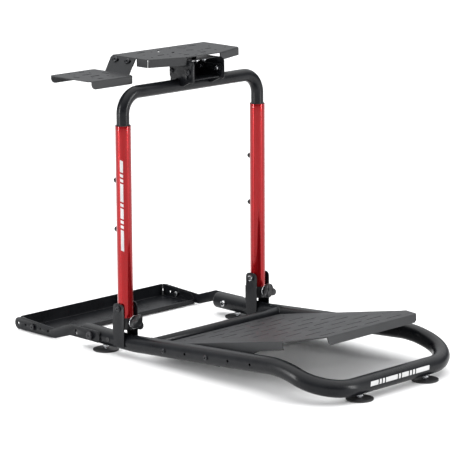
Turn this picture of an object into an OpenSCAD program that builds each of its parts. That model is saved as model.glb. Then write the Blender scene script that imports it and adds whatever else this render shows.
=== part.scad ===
// Floor stand for a racing wheel, a shifter and pedals, with a rear tray for chair castors.
// Millimetres, +Z up, floor at z = 0, +X to the driver's right, +Y forward towards the pedals.
// Lengths along Y are counted from the plane of the uprights before the whole part is centred.

/* [Base frame] */
// Half the distance between the two rail centrelines
half_track = 274; // [200:1:340]
// Outside diameter of the base tube
rail_d = 50; // [30:1:60]
// Wall thickness of every round tube
tube_wall = 2; // [1.2:0.1:3]
// Height of the rail centreline behind the knee
rail_z = 42; // [35:1:70]
// Rear end of the rails, measured behind the uprights
rail_rear = 170; // [120:1:260]
// Where the rails start to climb, measured ahead of the uprights
knee_y = 39; // [0:1:120]
// Climb of the rails towards the pedals, in degrees
rail_rise = 4.22; // [1:0.01:8]
// Downward dip of the front loop, in degrees
nose_dip = 16; // [8:0.5:25]
// Height of the front bar centreline
front_bar_z = 40; // [35:1:60]
// Distance of the front bar ahead of the uprights
front_bar_y = 805; // [600:1:900]
// Centreline radius of the front corner bends
corner_r = 112; // [80:1:160]
// Centreline radius of the knee bend
knee_r = 400; // [200:10:800]
// Outside diameter of the cross tube between the rails
cross_d = 34; // [20:1:45]
// Distance of the cross tube ahead of the uprights
cross_y = 100; // [60:1:140]
// Height of the cross tube centreline
cross_z = 50; // [40:1:70]

/* [Rail holes] */
// First bolt hole of the row, ahead of the uprights
row_start = 188; // [150:1:240]
// Pitch of the bolt holes along the climbing rail
row_pitch = 88; // [60:1:110]
// Number of holes in the row
row_count = 5; // [3:1:6]
// Plugged hole behind the uprights
plug_y = -52; // [-80:1:-40]

/* [Feet] */
// Diameter of the round foot pads
foot_d = 78; // [50:1:100]
// Thickness of a foot pad at its rim
foot_t = 5; // [3:0.5:10]
// Rear feet, measured behind the uprights
foot_rear = 89; // [60:1:130]
// Half the distance between the two front feet
foot_front_x = 136; // [80:1:150]

/* [Uprights] */
// Outside diameter of the coloured upright tubes
upright_d = 46; // [38:1:55]
// Lower end of the coloured tubes
upright_low = 117; // [100:1:140]
// Upper end of the coloured tubes
upright_top = 685; // [500:1:750]
// Height of the folding pivot
pivot_z = 145; // [130:1:170]
// Height of the lower clamp bolt in each upright
clamp_low = 375; // [300:1:420]
// Height of the upper clamp bolt in each upright
clamp_high = 520; // [450:1:580]
// Height of the locking knobs
knob_z = 107; // [100:1:110]
// Overall diameter of a three-lobed locking knob
knob_d = 50; // [40:1:60]

/* [Hoop] */
// Outside diameter of the hoop tube
hoop_d = 38; // [30:1:42]
// Height of the hoop bar centreline at its lowest setting
hoop_z = 777; // [740:1:900]
// Centreline radius of the hoop bends
hoop_r = 60; // [45:1:90]
// Lower end of the hoop legs
leg_low = 330; // [250:1:360]

/* [Wheel deck] */
// Height of the top face of the wheel deck
deck_z = 868; // [840:1:900]
// Half the width of the wheel deck
deck_half = 186; // [150:1:220]
// Rear edge of the deck behind the uprights
deck_rear = 139; // [100:1:160]
// Front edge of the deck at its sides
deck_side_y = 12; // [0:1:40]
// Front edge of the deck in the middle
deck_front_y = 53; // [50:1:90]
// Half the width of the middle part of the front edge
deck_mid_half = 67; // [64:1:80]
// Sheet thickness of the decks
sheet = 3; // [2:0.1:4]
// Depth of the turned-down edges
lip = 25; // [15:1:35]
// Tilt pivot of the wheel deck behind the uprights
tilt_y = -18; // [-30:1:-10]
// Height of the tilt pivot
tilt_z = 821; // [815:1:830]
// Distance from the tilt pivot to the tilt lock bolts
tilt_arm = 70; // [60:1:75]
// Wheel bolt rectangle, along X
wheel_pitch_x = 140; // [100:1:200]
// Wheel bolt rectangle, along Y
wheel_pitch_y = 70; // [50:1:90]
// Diameter of the wheel, shifter and pedal bolt holes
device_hole = 6.6; // [5:0.1:8.5]

/* [Shifter shelf] */
// Lean of the shifter bracket away from upright, in degrees
shelf_lean = 30; // [20:1:40]
// Slant length of the shifter bracket
bracket_len = 52; // [45:1:60]
// Rear edge of the shelf behind the uprights
shelf_rear = 196; // [160:1:220]
// Front edge of the shelf behind the uprights
shelf_front = 16; // [14:1:40]
// Outer edge of the shelf, from the middle of the stand
shelf_outer = 384; // [340:1:420]
// Shifter bolt rectangle, along X
shifter_pitch_x = 60; // [40:1:90]
// Shifter bolt rectangle, along Y
shifter_pitch_y = 80; // [60:1:120]

/* [Pedal deck] */
// Rear edge of the pedal plate ahead of the uprights
pedal_rear = 120; // [119:1:140]
// Height of the top face at the rear edge
pedal_rear_z = 52; // [45:1:60]
// Slope of the pedal plate, in degrees
pedal_slope = 11.2; // [5:0.1:20]
// Length of the pedal plate along its slope
pedal_len = 619; // [450:1:700]
// Length of the full-width part of the pedal plate
pedal_wide_len = 522; // [350:1:600]
// Half the width of the front edge of the pedal plate
pedal_nose_half = 185; // [120:1:220]
// Rows of slots across the pedal plate
pedal_rows = 9; // [5:1:10]
// Length of one slot
slot_len = 62; // [40:1:80]
// Width of one slot
slot_w = 7; // [5:0.5:9]
// Side of the square of pedal bolt holes
pedal_square = 410; // [380:5:430]
// First pedal bolt holes, measured up the slope from the rear edge
pedal_hole_start = 60; // [20:5:80]

/* [Chair tray] */
// Depth of the tray from front lip to rear wall
tray_depth = 155; // [120:1:180]
// Rear face of the tray behind the uprights
tray_rear = 457; // [400:1:470]
// Height of the rear wall of the tray
tray_wall = 42; // [30:1:60]
// Height of the front lip of the tray
tray_lip = 17; // [10:1:30]
// Rear end of the tray arms behind the uprights
arm_rear = 475; // [460:1:490]
// Thickness of the tray arms
arm_t = 4; // [3:0.5:6]
// Pitch of the five holes in each tray arm
arm_pitch = 35; // [25:1:40]

/* [Hidden] */
$fn = 64;
rail_r = rail_d / 2;
upright_r = upright_d / 2;
hoop_tube_r = hoop_d / 2;
cross_r = cross_d / 2;
foot_r = foot_d / 2;
// the whole part is centred over the origin by these two values
x_mid = (shelf_outer - half_track - foot_r) / 2;
y_mid = (front_bar_y + foot_r - arm_rear) / 2;
// side view of the rails: knee, climb, crest and tilted front loop
knee_len = knee_r * tan(rail_rise / 2);
nose_y = front_bar_y - corner_r * cos(nose_dip);
nose_z = front_bar_z + corner_r * sin(nose_dip);
crest_gap = rail_z + tan(rail_rise) * (nose_y - knee_y) - nose_z;
crest_r = crest_gap / (1 / cos(rail_rise) - cos(nose_dip) + tan(rail_rise) * sin(nose_dip));
crest_y = nose_y - crest_r * (sin(nose_dip) + sin(rail_rise));
crest_z = nose_z + crest_r * (cos(rail_rise) - cos(nose_dip));
climb_y = knee_y + knee_len * cos(rail_rise);
climb_z = rail_z + knee_len * sin(rail_rise);
climb_len = (crest_y - climb_y) / cos(rail_rise);
// overlap and radius step where straight lengths and bends of the base tube meet
hair = 0.04;
blend = 0.5;
blend_turn = 0.1;
// clearances between neighbours: bolted parts, running fits and sliding faces
snug = 0.1;
run_fit = 0.05;
slide_gap = 0.3;
// M8 and M10 fasteners
m8_r = 4;
m10_r = 5;
head_r = 7;
head_h = 5;
nut_h = 6.5;
m8_nut_r = 7.5;
m10_nut_r = 9.2;
socket_r = 2.9;
// hinge bracket ears stand on both sides of the rail
ear_in = rail_r + snug;
ear_t = 3;
ear_out = ear_in + ear_t;
ear_rear = -23.5;
ear_front = 21.5;
ear_low = 30;
ear_top = pivot_z + 15;
ear_corner = 14;
// the web behind the lower plug ends below the folded upright
web_low = rail_z + rail_r + 2;
web_high = knob_z + 11;
// guide bushings at the upper ends of the uprights
bushing_len = 80;
collar_h = 1.5;
// foot stems and bosses
boss_r = 9;
boss_h = 20;
rear_foot_z = rail_z - rail_r;
front_foot_z = front_bar_z - rail_r;
// pedal plate sides run close inside the rails
pedal_half = half_track - rail_r - slide_gap;
gusset_t = sheet;
gusset_in = pedal_half - gusset_t;
pedal_travel = 14;
// locking knobs: stand-off from the plug, thickness, hollow flanks and the disc behind
knob_stand = 15;
knob_t = 21;
flank_at = 32;
flank_r = 18;
disc_r = 20;
// chair tray and arms
arm_in = half_track + rail_r + snug;
arm_hole_z = 20.5;
arm_mid_y = -389;
arm_end_r = 18.5;
arm_end_y = arm_end_r - arm_rear;
tray_half = arm_in - slide_gap;
tray_sheet = sheet;
tray_z = 2.5;
tray_travel = 30;
tray_end_t = sheet;
arm_bolt_y = -125;
// wheel deck bracket
cheek_out = 62.3;
cheek_in = cheek_out - sheet;
inner_out = cheek_in - slide_gap;
inner_in = inner_out - sheet;
deck_under = deck_z - sheet;
spacer_h = 9;
web_top = deck_under - spacer_h;
web_front = 50;
cheek_rear = -28;
cheek_front = 76;
cheek_low = 790;
// bar bracket: saddle plate over the hoop bar and the wall behind it
saddle_rear = -26;
saddle_front = 62;
back_top = 836;
tilt_min = -3;
tilt_max = 15;
tilt_slot_r = 4.4;
edge_len = norm([deck_half - deck_mid_half, deck_front_y - deck_side_y]);
edge_turn = atan2(deck_side_y - deck_front_y, deck_half - deck_mid_half);
screw_places = [[-38, -8], [38, -8], [-16, 38], [16, 38]];
block_half = 25;
// shifter bracket: leans outwards from the deck edge
tab_y0 = -deck_rear;
tab_y1 = -38;
tab_len = 30;
shifter_bolt_ys = [-114, -62];
shifter_bolt_s = 15;
shelf_travel = 10;
shelf_z = deck_z - bracket_len * cos(shelf_lean);
shelf_inner = deck_half + bracket_len * sin(shelf_lean);

// height of the rail centreline at a distance y ahead of the uprights
function rail_height(y) = y < knee_y ? rail_z : rail_z + tan(rail_rise) * (y - knee_y);
// the bolt holes follow the climbing rail
function row_y(i) = row_start + i * row_pitch * cos(rail_rise);

module centred() {
  translate([-x_mid, -y_mid, 0]) children();
}

module both_sides() {
  children();
  mirror([1, 0, 0]) children();
}

// arc of round bar in a plane of constant x, angles from +Y towards +Z
module side_arc(c, a0, a1, bend, r) {
  translate(c)
    rotate([90, 0, 90])
      rotate([0, 0, a0])
        rotate_extrude(angle = a1 - a0)
          translate([bend, 0]) circle(r = r);
}

// cylinder along +X from x0 to x1
module bar_x(x0, x1, y, z, r) {
  translate([x0, y, z]) rotate([0, 90, 0]) cylinder(r = r, h = x1 - x0);
}

// plate of constant x, drawn in (y, z)
module side_plate(x0, t) {
  translate([x0, 0, 0]) rotate([90, 0, 90]) linear_extrude(t) children();
}

// rounded slot centred on the origin, long side along x
module slot_2d(len, w) {
  square([len - w, w], center = true);
  translate([(len - w) / 2, 0]) circle(d = w);
  translate([-(len - w) / 2, 0]) circle(d = w);
}

// rounded slot from point a to point b
module slot_between(a, b, w) {
  run = norm([b[0] - a[0], b[1] - a[1]]);
  translate([(a[0] + b[0]) / 2, (a[1] + b[1]) / 2])
    rotate([0, 0, atan2(b[1] - a[1], b[0] - a[0])])
      slot_2d(run + w, w);
}

// rectangle with rounded corners
module round_rect(x0, y0, x1, y1, r) {
  translate([x0 + r, y0]) square([x1 - x0 - 2 * r, y1 - y0]);
  translate([x0, y0 + r]) square([x1 - x0, y1 - y0 - 2 * r]);
  for (x = [x0 + r, x1 - r], y = [y0 + r, y1 - r]) translate([x, y]) circle(r = r);
}

// button head with a hex socket and its shank, pointing along +Z from the seat
module button_bolt(r, shank, hr, hh) {
  difference() {
    union() {
      translate([0, 0, -shank]) cylinder(r = r, h = shank + 0.5);
      cylinder(r = hr, h = hh * 0.55);
      translate([0, 0, hh * 0.55]) cylinder(r1 = hr, r2 = hr * 0.66, h = hh * 0.45);
    }
    translate([0, 0, hh * 0.4]) cylinder(r = socket_r, h = hh, $fn = 6);
  }
}

// hexagon nut with a bore, growing along +Z
module hex_nut(bore, corner, h) {
  difference() {
    cylinder(r = corner, h = h, $fn = 6);
    translate([0, 0, -1]) cylinder(r = bore, h = h + 2);
  }
}

module at_x(x, y, z, side) {
  translate([x, y, z]) rotate([0, side * 90, 0]) children();
}

// ---------- base frame ----------

// each straight length is a hair thinner than the bend it runs into, so the two overlap cleanly
module rail_half(r) {
  translate([half_track, -rail_rear, rail_z])
    rotate([-90, 0, 0]) cylinder(r = r - 2 * hair, h = rail_rear + knee_y - knee_len + blend);
  side_arc([half_track, knee_y - knee_len, rail_z + knee_r], -90, rail_rise - 90, knee_r, r - hair);
  translate([half_track, climb_y, climb_z]) rotate([rail_rise - 90, 0, 0])
    translate([0, 0, -blend]) cylinder(r = r - 2 * hair, h = climb_len + 2 * blend);
  side_arc([half_track, nose_y - crest_r * sin(nose_dip), nose_z - crest_r * cos(nose_dip)],
           90 - nose_dip - blend_turn, 90 + rail_rise, crest_r, r - hair);
  translate([half_track - corner_r, nose_y, nose_z])
    rotate([-nose_dip, 0, 0])
      rotate_extrude(angle = 90) translate([corner_r, 0]) circle(r = r);
}

module rail_loop(r) {
  both_sides() rail_half(r);
  bar_x(corner_r - half_track - blend, half_track - corner_r + blend, front_bar_y, front_bar_z,
        r - hair);
}

module base_frame() color("#26272a") centred() difference() {
  rail_loop(rail_r);
  rail_loop(rail_r - tube_wall);
  for (i = [0:row_count - 1])
    bar_x(-half_track - rail_d, half_track + rail_d, row_y(i), rail_height(row_y(i)), m8_r + snug);
  bar_x(-half_track - rail_d, half_track + rail_d, arm_bolt_y, rail_z, m10_r + snug);
  both_sides() {
    bar_x(half_track, half_track + rail_d, plug_y, rail_z, 5);
    translate([half_track, -foot_rear, 0]) cylinder(r = boss_r + run_fit, h = rail_z);
    translate([foot_front_x, front_bar_y, 0]) cylinder(r = boss_r + run_fit, h = front_bar_z);
  }
}

module rail_end_caps() color("#17181a") centred() both_sides()
  translate([half_track, -rail_rear, rail_z]) rotate([90, 0, 0]) {
    cylinder(r = rail_r, h = 3.5);
    translate([0, 0, 3.5]) cylinder(r1 = rail_r, r2 = rail_r - 3, h = 3);
    translate([0, 0, -18]) cylinder(r = rail_r - tube_wall - 2 * hair - run_fit, h = 18.1);
  }

module rail_plugs() color("#3a3b3f") centred() both_sides()
  at_x(half_track + rail_r - 4, plug_y, rail_z, 1) {
    cylinder(r = 4.9, h = 4.3);
    translate([0, 0, 4.05]) difference() {
      cylinder(r = 7, h = 1.6);
      translate([0, 0, 0.6]) cylinder(r = 4, h = 2);
    }
  }

module cross_tube() color("#2b2c30") centred() difference() {
  bar_x(-half_track, half_track, cross_y, cross_z, cross_r);
  bar_x(-half_track - 1, half_track + 1, cross_y, cross_z, cross_r - tube_wall);
  rail_loop(rail_r + run_fit);
}

module foot_boss(x, y, z) {
  translate([x, y, z - 1]) difference() {
    cylinder(r = boss_r, h = boss_h);
    translate([0, 0, -1]) cylinder(r = m10_r + run_fit, h = boss_h + 2);
  }
}

module foot_bosses() color("#8f9297") centred() both_sides() {
  foot_boss(half_track, -foot_rear, rear_foot_z);
  foot_boss(foot_front_x, front_bar_y, front_foot_z);
}

module ear_2d() difference() {
  union() {
    round_rect(ear_rear, ear_top - 4 * ear_corner, ear_front, ear_top, ear_corner);
    translate([ear_rear, ear_low])
      square([ear_front - ear_rear, ear_top - 2 * ear_corner - ear_low]);
  }
  translate([0, pivot_z]) circle(r = m10_r + snug);
}

module hinge_bracket() {
  side_plate(half_track + ear_in, ear_t) ear_2d();
  side_plate(half_track - ear_out, ear_t) ear_2d();
  translate([half_track - ear_out, ear_rear - ear_t, web_low])
    cube([2 * ear_out, ear_t + 0.2, web_high - web_low]);
}

module stud_window() {
  translate([half_track, 0, knob_z]) rotate([90, 0, 0]) cylinder(r = m10_r + 0.5, h = 60);
}

module hinge_bracket_right() color("#232427") centred() difference() {
  hinge_bracket();
  stud_window();
}

module hinge_bracket_left() color("#232427") centred() mirror([1, 0, 0]) difference() {
  hinge_bracket();
  stud_window();
}

module pivot_bolts() color("#33353a") centred() both_sides()
  at_x(half_track + ear_out + snug, 0, pivot_z, 1)
    button_bolt(m10_r, 2 * ear_out + 12, 9, 6);

module pivot_nuts() color("#3c3e43") centred() both_sides()
  at_x(half_track - ear_out - snug, 0, pivot_z, -1) hex_nut(m10_r + run_fit, m10_nut_r, 8);

module pivot_washer() difference() {
  cylinder(r = 11, h = ear_in - upright_r - 2 * slide_gap);
  translate([0, 0, -1]) cylinder(r = m10_r + snug, h = 6);
}

module pivot_washers() color("#1b1c1e") centred() both_sides() {
  at_x(half_track + upright_r + slide_gap * 1.9, 0, pivot_z, 1) pivot_washer();
  at_x(half_track - upright_r - slide_gap * 1.9, 0, pivot_z, -1) pivot_washer();
}

module pedal_bolts() color("#2f3136") centred() both_sides() for (i = [0, 2])
  at_x(half_track + rail_r + snug, row_y(i), rail_height(row_y(i)), 1)
    button_bolt(m8_r, rail_d + gusset_t + 9, head_r, head_h);

module pedal_nuts() color("#8f9297") centred() both_sides() for (i = [0, 2])
  at_x(gusset_in - slide_gap, row_y(i), rail_height(row_y(i)), -1)
    hex_nut(m8_r + run_fit, m8_nut_r, nut_h);

// ---------- chair tray arms ----------

module tray_arm() difference() {
  union() {
    side_plate(arm_in, arm_t)
      polygon([[-92, 26], [-218, 26], [-287, 4], [arm_end_y + 6, 3.2], [arm_end_y - 8, 6],
               [arm_end_y - 8, 36], [-446, 42], [-294, 34], [-216, 60], [-92, 60], [-86, 54],
               [-86, 32]]);
    bar_x(arm_in, arm_in + arm_t, arm_end_y, arm_hole_z, arm_end_r);
  }
  bar_x(arm_in - 1, arm_in + arm_t + 1, arm_bolt_y, rail_z, m10_r + snug);
  side_plate(arm_in - 1, arm_t + 2) translate([-190, 43]) rotate([0, 0, 90]) slot_2d(18, 8);
  for (i = [-2:2])
    bar_x(arm_in - 1, arm_in + arm_t + 1, arm_mid_y + i * arm_pitch, arm_hole_z, m8_r + snug);
}

module tray_arm_right() color("#242528") centred() tray_arm();

module tray_arm_left() color("#242528") centred() mirror([1, 0, 0]) tray_arm();

// large fluted bolt head: a disc with shallow grooves round its rim
module fluted_head(r, h, flutes) {
  difference() {
    union() {
      cylinder(r = r, h = h * 0.7);
      translate([0, 0, h * 0.7]) cylinder(r1 = r, r2 = r - 2, h = h * 0.3);
    }
    for (i = [0:flutes - 1])
      rotate([0, 0, i * 360 / flutes]) translate([r + 0.6, 0, -1]) cylinder(r = 1.6, h = h + 2);
    translate([0, 0, h - 2.5]) cylinder(r = socket_r, h = 4, $fn = 6);
  }
}

module arm_bolts() color("#1d1e20") centred() both_sides()
  at_x(arm_in + arm_t + snug, arm_bolt_y, rail_z, 1) {
    fluted_head(13, 9, 14);
    translate([0, 0, -arm_t - rail_d - 12]) cylinder(r = m10_r, h = arm_t + rail_d + 13);
  }

module arm_nuts() color("#8f9297") centred() both_sides()
  at_x(half_track - rail_r - snug, arm_bolt_y, rail_z, -1)
    hex_nut(m10_r + run_fit, m10_nut_r, 8);

module tray_bolts() color("#1d1e20") centred() both_sides()
  at_x(arm_in + arm_t + snug, arm_mid_y, arm_hole_z, 1) {
    fluted_head(9.5, 7, 12);
    translate([0, 0, -arm_t - tray_end_t - 10]) cylinder(r = m8_r, h = arm_t + tray_end_t + 11);
  }

module tray_nuts() color("#8f9297") centred() both_sides()
  at_x(tray_half - tray_end_t - slide_gap, arm_mid_y, arm_hole_z, -1)
    hex_nut(m8_r + run_fit, m8_nut_r, nut_h);

// ---------- feet ----------

module foot_lock_nuts() color("#8f9297") centred() both_sides() {
  translate([half_track, -foot_rear, rear_foot_z - 7.5]) hex_nut(m10_r + run_fit, m10_nut_r, 6);
  translate([foot_front_x, front_bar_y, front_foot_z - 7.5]) hex_nut(m10_r + run_fit, m10_nut_r, 6);
}

module foot_pad(x, y) {
  translate([x, y, 0]) difference() {
    union() {
      cylinder(r1 = foot_r - 1, r2 = foot_r, h = 1.5);
      translate([0, 0, 1.5]) cylinder(r = foot_r, h = foot_t - 3);
      translate([0, 0, foot_t - 1.5]) cylinder(r1 = foot_r, r2 = foot_r - 3, h = 1.5);
      cylinder(r = 12, h = foot_t + 0.8);
    }
    translate([0, 0, 2]) cylinder(r = m10_r + run_fit, h = foot_t);
  }
}

module foot_stem(x, y, top) {
  translate([x, y, 2.1]) cylinder(r = m10_r, h = top - 2.1);
}

module foot_pad_rear_right() color("#141517") centred() foot_pad(half_track, -foot_rear);
module foot_pad_rear_left() color("#141517") centred() foot_pad(-half_track, -foot_rear);
module foot_pad_front_right() color("#141517") centred() foot_pad(foot_front_x, front_bar_y);
module foot_pad_front_left() color("#141517") centred() foot_pad(-foot_front_x, front_bar_y);
module foot_stem_rear_right() color("#9a9da2") centred() foot_stem(half_track, -foot_rear, rail_z);
module foot_stem_rear_left() color("#9a9da2") centred() foot_stem(-half_track, -foot_rear, rail_z);
module foot_stem_front_right() color("#9a9da2") centred()
  foot_stem(foot_front_x, front_bar_y, front_bar_z);
module foot_stem_front_left() color("#9a9da2") centred()
  foot_stem(-foot_front_x, front_bar_y, front_bar_z);

// ---------- uprights ----------

module upright_tube() difference() {
  translate([half_track, 0, upright_low]) cylinder(r = upright_r, h = upright_top - upright_low);
  translate([half_track, 0, upright_low - 1])
    cylinder(r = upright_r - tube_wall, h = upright_top - upright_low + 2);
  bar_x(half_track - upright_d, half_track + upright_d, 0, pivot_z, m10_r + run_fit);
  for (z = [clamp_low, clamp_high])
    translate([half_track, 0, z]) rotate([90, 0, 0]) cylinder(r = m8_r + snug, h = upright_d);
}

module upright_right() color("#c3151b") centred() upright_tube();
module upright_left() color("#c3151b") centred() mirror([1, 0, 0]) upright_tube();

// plug that closes the lower end of an upright and carries the pivot and the locking stud
module tube_foot() difference() {
  union() {
    translate([half_track, 0, 82]) cylinder(r = upright_r - 0.5, h = upright_low - snug - 82);
    translate([half_track, 0, 82]) cylinder(r = upright_r - tube_wall - snug, h = 98);
  }
  bar_x(half_track - upright_d, half_track + upright_d, 0, pivot_z, m10_r + run_fit);
  translate([half_track, upright_d, knob_z]) rotate([90, 0, 0])
    cylinder(r = m10_r + run_fit, h = 2 * upright_d);
}

module tube_foot_right() color("#1a1b1d") centred() tube_foot();
module tube_foot_left() color("#1a1b1d") centred() mirror([1, 0, 0]) tube_foot();

module top_bushings() color("#1a1b1d") centred() both_sides()
  translate([half_track, 0, 0]) difference() {
    union() {
      translate([0, 0, upright_top + snug])
        cylinder(r1 = upright_r - 0.5, r2 = upright_r - 1.5, h = collar_h);
      translate([0, 0, upright_top - bushing_len])
        cylinder(r = upright_r - tube_wall - snug, h = bushing_len + 2 * snug);
    }
    translate([0, 0, upright_top - 2 * bushing_len])
      cylinder(r = hoop_tube_r + run_fit, h = 3 * bushing_len);
  }

module clamp_boss(z) difference() {
  translate([half_track, -upright_r + 3, z]) rotate([90, 0, 0]) cylinder(r = 8.5, h = 11);
  translate([half_track, 0, z - 20]) cylinder(r = upright_r + snug, h = 40);
  translate([half_track, 0, z]) rotate([90, 0, 0]) cylinder(r = m8_r + snug, h = upright_d);
}

module clamp_bosses() color("#26272a") centred() both_sides() {
  clamp_boss(clamp_low);
  clamp_boss(clamp_high);
}

module clamp_bolts() color("#2f3136") centred() both_sides() for (z = [clamp_low, clamp_high])
  translate([half_track, -upright_r - 8.2, z]) rotate([90, 0, 0])
    button_bolt(m8_r, upright_r + 8.2 - hoop_tube_r - slide_gap, head_r + 0.5, 8);

// ---------- locking knobs ----------

// three lobes with hollow flanks between them, a bevelled face and a round hub behind
module knob_shape() difference() {
  union() {
    cylinder(r = 12, h = 8);
    translate([0, 0, 4]) cylinder(r = knob_d / 2, h = knob_t - 9);
    translate([0, 0, knob_t - 5]) cylinder(r1 = knob_d / 2, r2 = knob_d / 2 - 5, h = 5);
  }
  for (i = [0:2]) rotate([0, 0, 60 + 120 * i]) translate([flank_at, 0, 3.9])
    cylinder(r = flank_r, h = knob_t);
  translate([0, 0, -1]) cylinder(r = m10_r + run_fit, h = 16);
}

// stud with its spacing collar and the plated disc behind the knob
module stud_shape() {
  translate([0, 0, -46.5]) cylinder(r = m10_r, h = 46.5 + knob_stand + 14);
  cylinder(r = 10, h = knob_stand);
  translate([0, 0, knob_stand - 2.5]) cylinder(r = disc_r, h = 2.5);
}

module at_knob(side) {
  translate([side * half_track, upright_r + 0.8, knob_z]) rotate([-90, 0, 0]) children();
}

module knob_right() color("#131416") centred() at_knob(1)
  translate([0, 0, knob_stand + snug]) rotate([0, 0, 10]) knob_shape();
module knob_left() color("#131416") centred() at_knob(-1)
  translate([0, 0, knob_stand + snug]) rotate([0, 0, 41]) knob_shape();
module knob_stud_right() color("#c6c8cc") centred() at_knob(1) stud_shape();
module knob_stud_left() color("#c6c8cc") centred() at_knob(-1) stud_shape();

// ---------- hoop ----------

module hoop_path(r, low) {
  both_sides() {
    translate([half_track, 0, low]) cylinder(r = r, h = hoop_z - hoop_r - low);
    translate([half_track - hoop_r, 0, hoop_z - hoop_r]) rotate([90, 0, 0])
      rotate_extrude(angle = 90) translate([hoop_r, 0]) circle(r = r);
  }
  bar_x(hoop_r - half_track, half_track - hoop_r, 0, hoop_z, r);
}

module hoop() color("#2a2b2f") centred() difference() {
  hoop_path(hoop_tube_r, leg_low);
  hoop_path(hoop_tube_r - tube_wall, leg_low - 1);
}

module leg_caps() color("#1a1b1d") centred() both_sides()
  translate([half_track, 0, leg_low]) difference() {
    union() {
      translate([0, 0, -6]) cylinder(r = hoop_tube_r, h = 6 - snug);
      translate([0, 0, -1]) cylinder(r = hoop_tube_r - tube_wall - run_fit, h = 26);
    }
    translate([0, 0, 4]) cylinder(r = hoop_tube_r - tube_wall - 3, h = 30);
  }

// cheek that saddles the hoop bar, drawn in (y, z)
module inner_cheek_2d() difference() {
  union() {
    round_rect(cheek_rear, 792, 72, 836, 9);
    polygon([[cheek_rear, hoop_z], [27, hoop_z], [62, 793], [62, 812], [cheek_rear, 812]]);
  }
  translate([0, hoop_z]) circle(r = hoop_tube_r + run_fit);
  translate([tilt_y, tilt_z]) circle(r = m8_r + snug);
  translate([tilt_y + tilt_arm, tilt_z]) circle(r = m8_r + snug);
}

module bar_bracket() color("#202124") centred() {
  both_sides() side_plate(inner_in, sheet) inner_cheek_2d();
  translate([-inner_out, saddle_rear, hoop_z + hoop_tube_r + snug])
    cube([2 * inner_out, saddle_front - saddle_rear, sheet]);
  translate([-inner_out, cheek_rear, hoop_z + hoop_tube_r + snug])
    cube([2 * inner_out, sheet, back_top - hoop_z - hoop_tube_r]);
}

module tilt_pivot_bolts() color("#2f3136") centred() both_sides()
  at_x(cheek_out + slide_gap, tilt_y, tilt_z, 1) button_bolt(m8_r, 16, head_r, head_h);

module tilt_pivot_nuts() color("#8f9297") centred() both_sides()
  at_x(inner_in - snug, tilt_y, tilt_z, -1) hex_nut(m8_r + run_fit, m8_nut_r, nut_h);

module tilt_lock_bolts() color("#2f3136") centred() both_sides()
  at_x(cheek_out + slide_gap, tilt_y + tilt_arm, tilt_z, 1)
    button_bolt(m8_r, 16, head_r + 1.5, head_h);

module tilt_lock_nuts() color("#8f9297") centred() both_sides()
  at_x(inner_in - snug, tilt_y + tilt_arm, tilt_z, -1)
    hex_nut(m8_r + run_fit, m8_nut_r, nut_h);

// ---------- wheel deck ----------

module outer_cheek() difference() {
  side_plate(cheek_in, sheet) difference() {
    union() {
      round_rect(28, cheek_low, cheek_front, web_top, 12);
      round_rect(cheek_rear, cheek_low + 9, cheek_front - 8, web_top - 6, 9);
      translate([cheek_rear, web_top - 20]) square([web_front - cheek_rear, 20]);
    }
    translate([tilt_y, tilt_z]) circle(r = m8_r + run_fit);
  }
  translate([cheek_in - 1, tilt_y, tilt_z]) rotate([90, 0, 90]) rotate([0, 0, -tilt_max])
    rotate_extrude(angle = tilt_max - tilt_min) translate([tilt_arm - tilt_slot_r, 0])
      square([2 * tilt_slot_r, sheet + 2]);
  for (a = [-tilt_max, -tilt_min])
    translate([cheek_in - 1, tilt_y, tilt_z]) rotate([a, 0, 0]) translate([0, tilt_arm, 0])
      rotate([0, 90, 0]) cylinder(r = tilt_slot_r, h = sheet + 2);
}

module deck_channel() color("#1f2023") centred() difference() {
  union() {
    both_sides() outer_cheek();
    translate([-cheek_out, cheek_rear, web_top - sheet])
      cube([2 * cheek_out, web_front - cheek_rear, sheet]);
  }
  for (p = screw_places) translate([p[0], p[1], web_top - 10]) cylinder(r = 3.1, h = 20);
}

// one bar along the front of the channel and two round spacers behind it
module deck_spacers() color("#17181a") centred()
  translate([0, 0, web_top + snug / 2]) difference() {
    union() {
      translate([-block_half, 28, 0]) cube([2 * block_half, 20, spacer_h - snug]);
      for (i = [0, 1]) translate([screw_places[i][0], screw_places[i][1], 0])
        cylinder(r = 7, h = spacer_h - snug);
    }
    for (p = screw_places) translate([p[0], p[1], -1]) cylinder(r = 3.1, h = spacer_h + 2);
  }

module deck_screws() color("#2f3136") centred()
  for (p = screw_places) translate([p[0], p[1], deck_z]) difference() {
    union() {
      translate([0, 0, -3]) cylinder(r1 = 3, r2 = 5.8, h = 2.8);
      translate([0, 0, -24]) cylinder(r = 3, h = 22);
    }
    translate([0, 0, -2]) cylinder(r = 2.2, h = 3, $fn = 6);
  }

module deck_screw_nuts() color("#8f9297") centred()
  for (p = screw_places)
    translate([p[0], p[1], web_top - sheet - 5 - snug]) hex_nut(3 + run_fit, 5.8, 5);

module deck_plan_2d() polygon([
  [deck_half, -deck_rear], [deck_half, deck_side_y], [deck_mid_half, deck_front_y],
  [-deck_mid_half, deck_front_y], [-deck_half, deck_side_y], [-deck_half, -deck_rear]]);

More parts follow.
